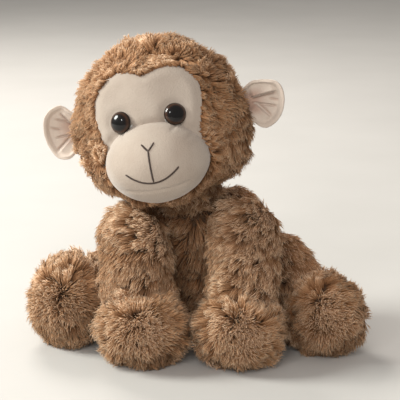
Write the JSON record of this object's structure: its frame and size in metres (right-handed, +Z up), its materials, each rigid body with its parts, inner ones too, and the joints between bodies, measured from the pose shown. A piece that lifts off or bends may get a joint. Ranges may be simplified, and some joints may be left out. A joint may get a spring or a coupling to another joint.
{
  "type": "stuffed monkey",
  "caption": "Seated plush monkey with a long-pile body, short-pile face, round ears, pellet-weighted paws and feet, and flexing neck, limbs, ears and tail.",
  "frame": {"origin": "middle of the flat seat, on the surface that the toy sits on", "axes": "+Z up, the toy faces -Y, and its own left side is +X"},
  "size_m": [0.2371, 0.1974, 0.2249],
  "materials": {
    "fur": "long pile",
    "velour": "short pile",
    "thread": "satin stitch",
    "eye_brown": "polished",
    "eye_black": "polished",
    "washer": "moulded",
    "stuffing": "loose fibre",
    "pouch_cloth": "woven",
    "label": "satin ribbon"
  },
  "bodies": {
    "torso": {"torso_skin": "fur", "torso_stuffing": "stuffing", "seat_pellet_pouch": "pouch_cloth", "sewn_in_label": "label"},
    "neck": {"neck_skin": "fur", "neck_stuffing": "stuffing"},
    "head": {"head_skin": "fur", "head_stuffing": "stuffing", "face_panel": "velour", "muzzle_skin": "velour", "muzzle_stuffing": "stuffing", "nose_stitching": "thread", "mouth_stitching": "thread", "eye_left_dome": "eye_brown", "eye_left_post": "eye_black", "eye_left_washer": "washer", "eye_right_dome": "eye_brown", "eye_right_post": "eye_black", "eye_right_washer": "washer"},
    "ear_left": {"ear_left_front": "velour", "ear_left_back": "velour"},
    "arm_left": {"arm_left_skin": "fur", "arm_left_stuffing": "stuffing"},
    "paw_left": {"paw_left_skin": "fur", "paw_left_stuffing": "stuffing", "paw_left_pellet_pouch": "pouch_cloth"},
    "leg_left": {"leg_left_skin": "fur", "leg_left_stuffing": "stuffing"},
    "foot_left": {"foot_left_skin": "fur", "foot_left_stuffing": "stuffing", "foot_left_pellet_pouch": "pouch_cloth"},
    "ear_right": {"ear_right_front": "velour", "ear_right_back": "velour"},
    "arm_right": {"arm_right_skin": "fur", "arm_right_stuffing": "stuffing"},
    "paw_right": {"paw_right_skin": "fur", "paw_right_stuffing": "stuffing", "paw_right_pellet_pouch": "pouch_cloth"},
    "leg_right": {"leg_right_skin": "fur", "leg_right_stuffing": "stuffing"},
    "foot_right": {"foot_right_skin": "fur", "foot_right_stuffing": "stuffing", "foot_right_pellet_pouch": "pouch_cloth"},
    "tail": {"tail_skin": "fur", "tail_stuffing": "stuffing"}
  },
  "joints": [
    {"name": "neck_turn", "type": "hinge", "parent": "torso", "child": "neck", "pos_m": [-0.009, -0.017, 0.112], "axis": [0, 0, 1], "range_deg": [-35, 35], "stiffness_Nm_per_rad": 1},
    {"name": "head_nod", "type": "hinge", "parent": "neck", "child": "head", "pos_m": [-0.009, -0.017, 0.112], "axis": [1, 0, 0], "range_deg": [-10, 7], "stiffness_Nm_per_rad": 2},
    {"name": "ear_left_bend", "type": "hinge", "parent": "head", "child": "ear_left", "pos_m": [0.03851, -0.02807, 0.1767], "axis": [-0.1808, 0.0887, 0.9795], "range_deg": [-20, 20], "stiffness_Nm_per_rad": 0.03},
    {"name": "shoulder_left", "type": "hinge", "parent": "torso", "child": "arm_left", "pos_m": [0.036, -0.041, 0.087], "axis": [-1, 0, 0], "range_deg": [0, 40], "stiffness_Nm_per_rad": 0.8},
    {"name": "wrist_left", "type": "hinge", "parent": "arm_left", "child": "paw_left", "pos_m": [0.038, -0.063, 0.05], "axis": [-1, 0, 0], "range_deg": [-15, 20], "stiffness_Nm_per_rad": 0.5},
    {"name": "hip_left", "type": "hinge", "parent": "torso", "child": "leg_left", "pos_m": [0.057, 0.006, 0.046], "axis": [0, 0, 1], "range_deg": [0, 25], "stiffness_Nm_per_rad": 0.8},
    {"name": "ankle_left", "type": "hinge", "parent": "leg_left", "child": "foot_left", "pos_m": [0.082, -0.027, 0.03], "axis": [-0.7971, -0.6039, 0], "range_deg": [-12, 12], "stiffness_Nm_per_rad": 0.5},
    {"name": "ear_right_bend", "type": "hinge", "parent": "head", "child": "ear_right", "pos_m": [-0.08636, -0.02698, 0.15356], "axis": [0.1808, -0.0887, -0.9795], "range_deg": [-20, 20], "stiffness_Nm_per_rad": 0.03},
    {"name": "shoulder_right", "type": "hinge", "parent": "torso", "child": "arm_right", "pos_m": [-0.042, -0.041, 0.081], "axis": [-1, 0, 0], "range_deg": [0, 40], "stiffness_Nm_per_rad": 0.8},
    {"name": "wrist_right", "type": "hinge", "parent": "arm_right", "child": "paw_right", "pos_m": [-0.035, -0.066, 0.05], "axis": [-1, 0, 0], "range_deg": [-15, 20], "stiffness_Nm_per_rad": 0.5},
    {"name": "hip_right", "type": "hinge", "parent": "torso", "child": "leg_right", "pos_m": [-0.05, 0.006, 0.046], "axis": [0, 0, -1], "range_deg": [0, 25], "stiffness_Nm_per_rad": 0.8},
    {"name": "ankle_right", "type": "hinge", "parent": "leg_right", "child": "foot_right", "pos_m": [-0.0765, -0.027, 0.03], "axis": [-0.7797, 0.6261, 0], "range_deg": [-12, 12], "stiffness_Nm_per_rad": 0.5},
    {"name": "tail_swing", "type": "hinge", "parent": "torso", "child": "tail", "pos_m": [0, 0.0441, 0.008], "axis": [0, 0, 1], "range_deg": [-30, 5], "stiffness_Nm_per_rad": 0.1}
  ]
}
